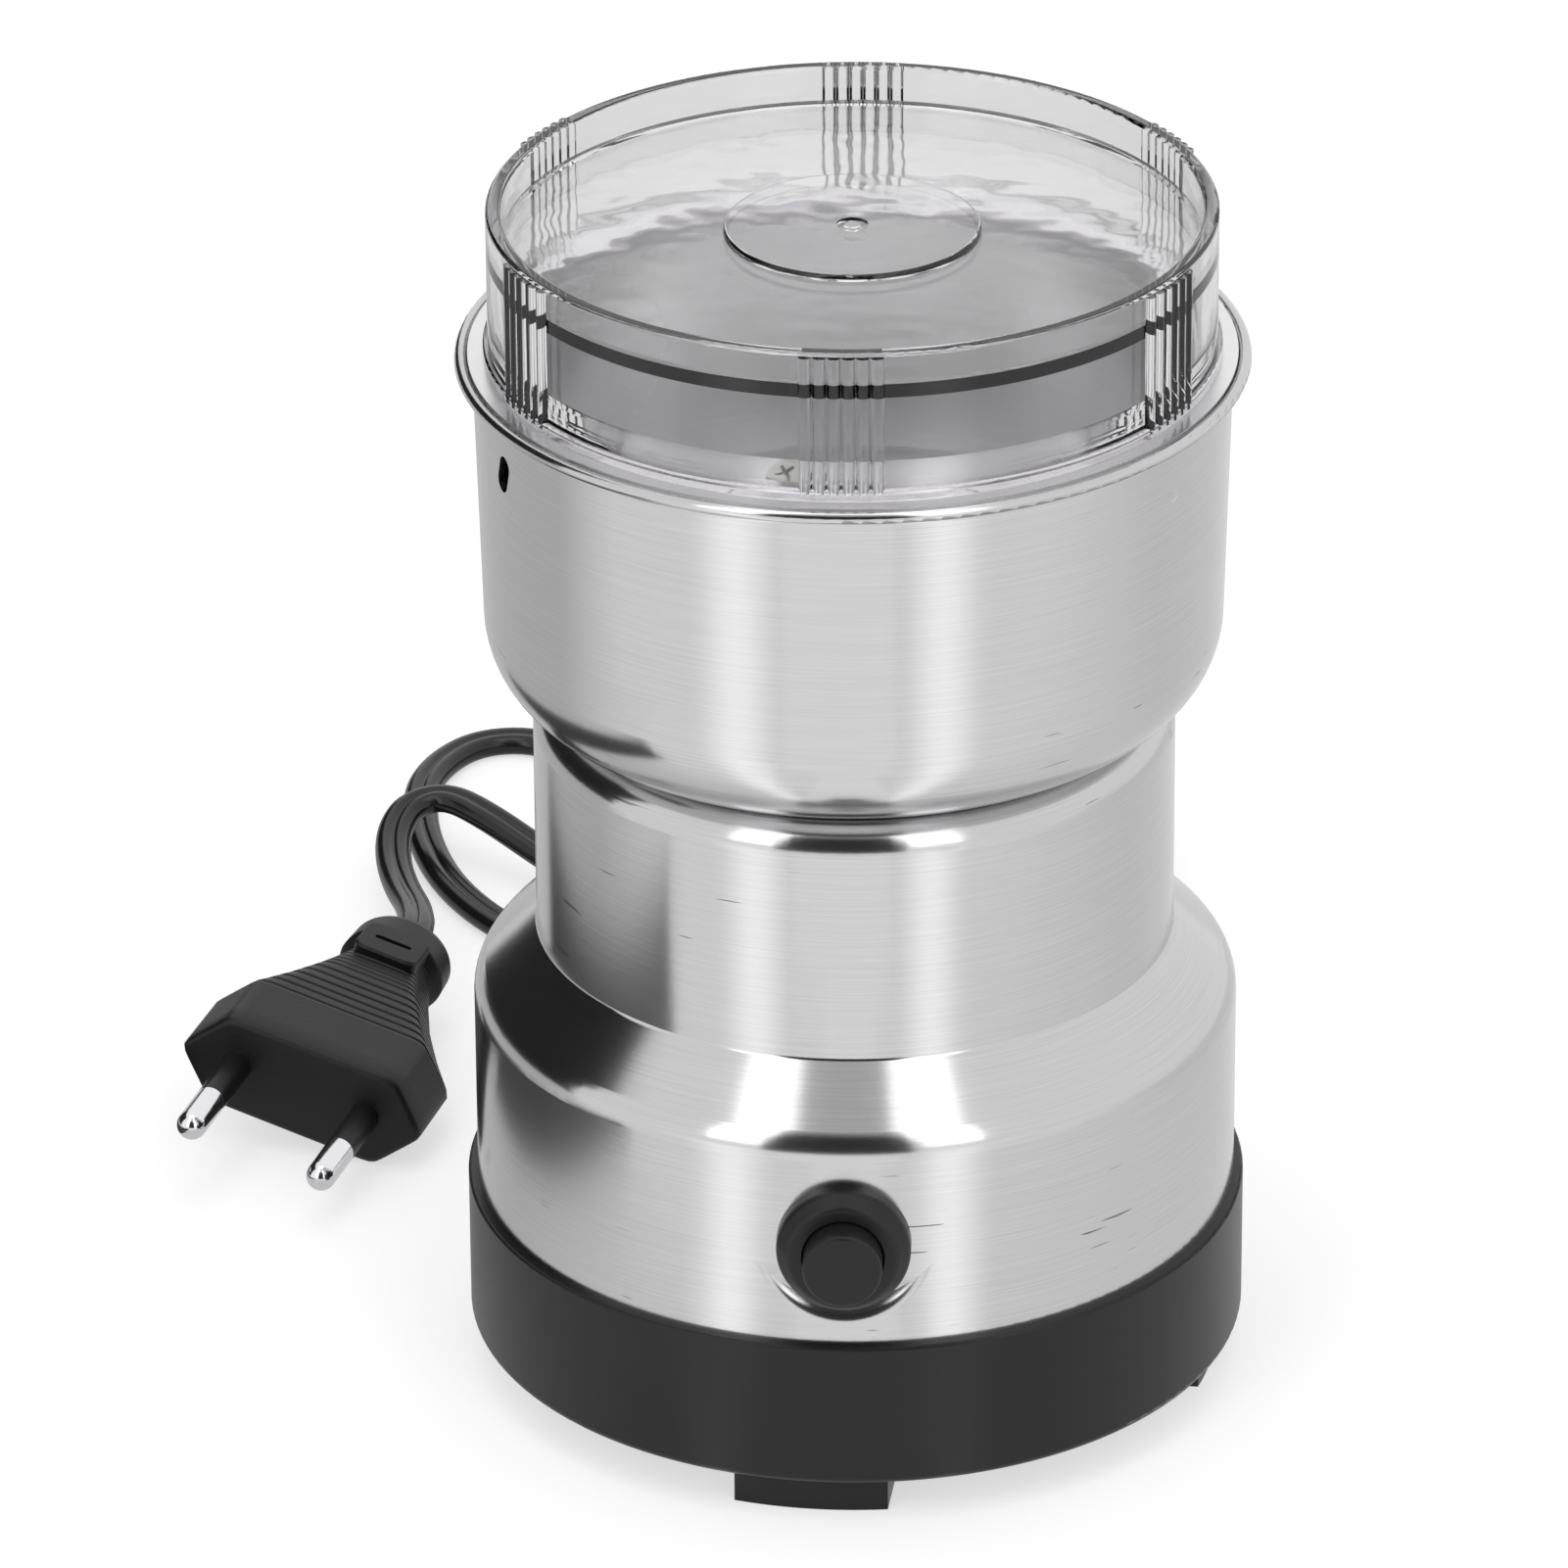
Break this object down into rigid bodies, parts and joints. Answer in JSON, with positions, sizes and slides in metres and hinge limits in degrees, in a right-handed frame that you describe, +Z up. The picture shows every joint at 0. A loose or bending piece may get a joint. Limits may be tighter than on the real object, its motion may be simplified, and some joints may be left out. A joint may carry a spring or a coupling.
{
  "type": "electric spice grinder",
  "caption": "Corded press-button spice grinder: black base ring, waisted steel body, steel bowl with a two-wing blade and a clear lift-off lid with ribbed grips.",
  "frame": {"origin": "on the floor under the motor's axis, between the feet", "axes": "+Z up along the motor's axis, -Y out of the push button, +Y towards the cord's exit"},
  "size_m": [0.1414, 0.2263, 0.1591],
  "materials": {
    "black_plastic": "satin moulded plastic, nearly black",
    "rubber_black": "matt black cord rubber",
    "clear_plastic": "clear, slightly smoky moulded plastic",
    "stainless": "brushed stainless steel",
    "polished_steel": "bright nickel-plated or ground steel",
    "zinc_steel": "zinc-plated steel",
    "lamination": "varnished electrical steel plates",
    "copper": "enamelled copper",
    "brass": "stamped brass",
    "bronze": "oil-filled sintered bronze",
    "carbon": "dull carbon",
    "frame_plastic": "off-white moulded plastic",
    "wire_insulation": "brown wire insulation"
  },
  "bodies": {
    "base": {"base_cover": "black_plastic", "feet": "rubber_black", "base_screws": "zinc_steel", "cord_bushing": "rubber_black", "cord_stub": "rubber_black", "cord_clamp": "frame_plastic", "clamp_screws": "zinc_steel", "mains_wires": "wire_insulation", "steel_housing": "stainless", "switch_collar": "black_plastic", "collar_nut": "black_plastic", "switch_body": "frame_plastic", "switch_terminals": "brass", "switch_spring": "zinc_steel", "bowl_shell": "stainless", "grinding_bowl": "stainless", "bowl_spacer": "frame_plastic", "bowl_screws": "zinc_steel", "shaft_seal": "rubber_black", "motor_frame": "frame_plastic", "upper_bearing": "bronze", "lower_bearing": "bronze", "lower_bracket": "frame_plastic", "motor_screws": "zinc_steel", "stator_core": "lamination", "field_coils": "copper", "thermal_fuse": "zinc_steel", "carbon_brushes": "carbon", "brush_holders": "brass", "brush_springs": "zinc_steel", "cord_lead": "rubber_black", "cord_coil": "rubber_black", "cord_tail": "rubber_black", "plug_body": "rubber_black", "plug_pins": "polished_steel", "pin_sleeves": "black_plastic"},
    "rotor": {"motor_shaft": "polished_steel", "armature_core": "lamination", "armature_windings": "copper", "commutator": "copper", "cooling_fan": "black_plastic", "blade_hub": "frame_plastic", "blade": "polished_steel", "blade_nut": "polished_steel"},
    "lid": {"lid": "clear_plastic"},
    "button": {"button_cap": "black_plastic", "switch_plunger": "frame_plastic"}
  },
  "joints": [
    {"name": "lid_lift", "type": "slide", "parent": "base", "child": "lid", "axis": [0, 0, 1], "range_m": [0, 0.025]},
    {"name": "rotor_spin", "type": "hinge", "parent": "base", "child": "rotor", "pos_m": [0, 0, 0.05], "axis": [0, 0, 1], "continuous": true},
    {"name": "button_press", "type": "slide", "parent": "base", "child": "button", "axis": [0, 1, 0], "range_m": [0, 0.003], "stiffness_N_per_m": 600, "springref_m": -0.002, "deforming": ["switch_spring"]}
  ]
}
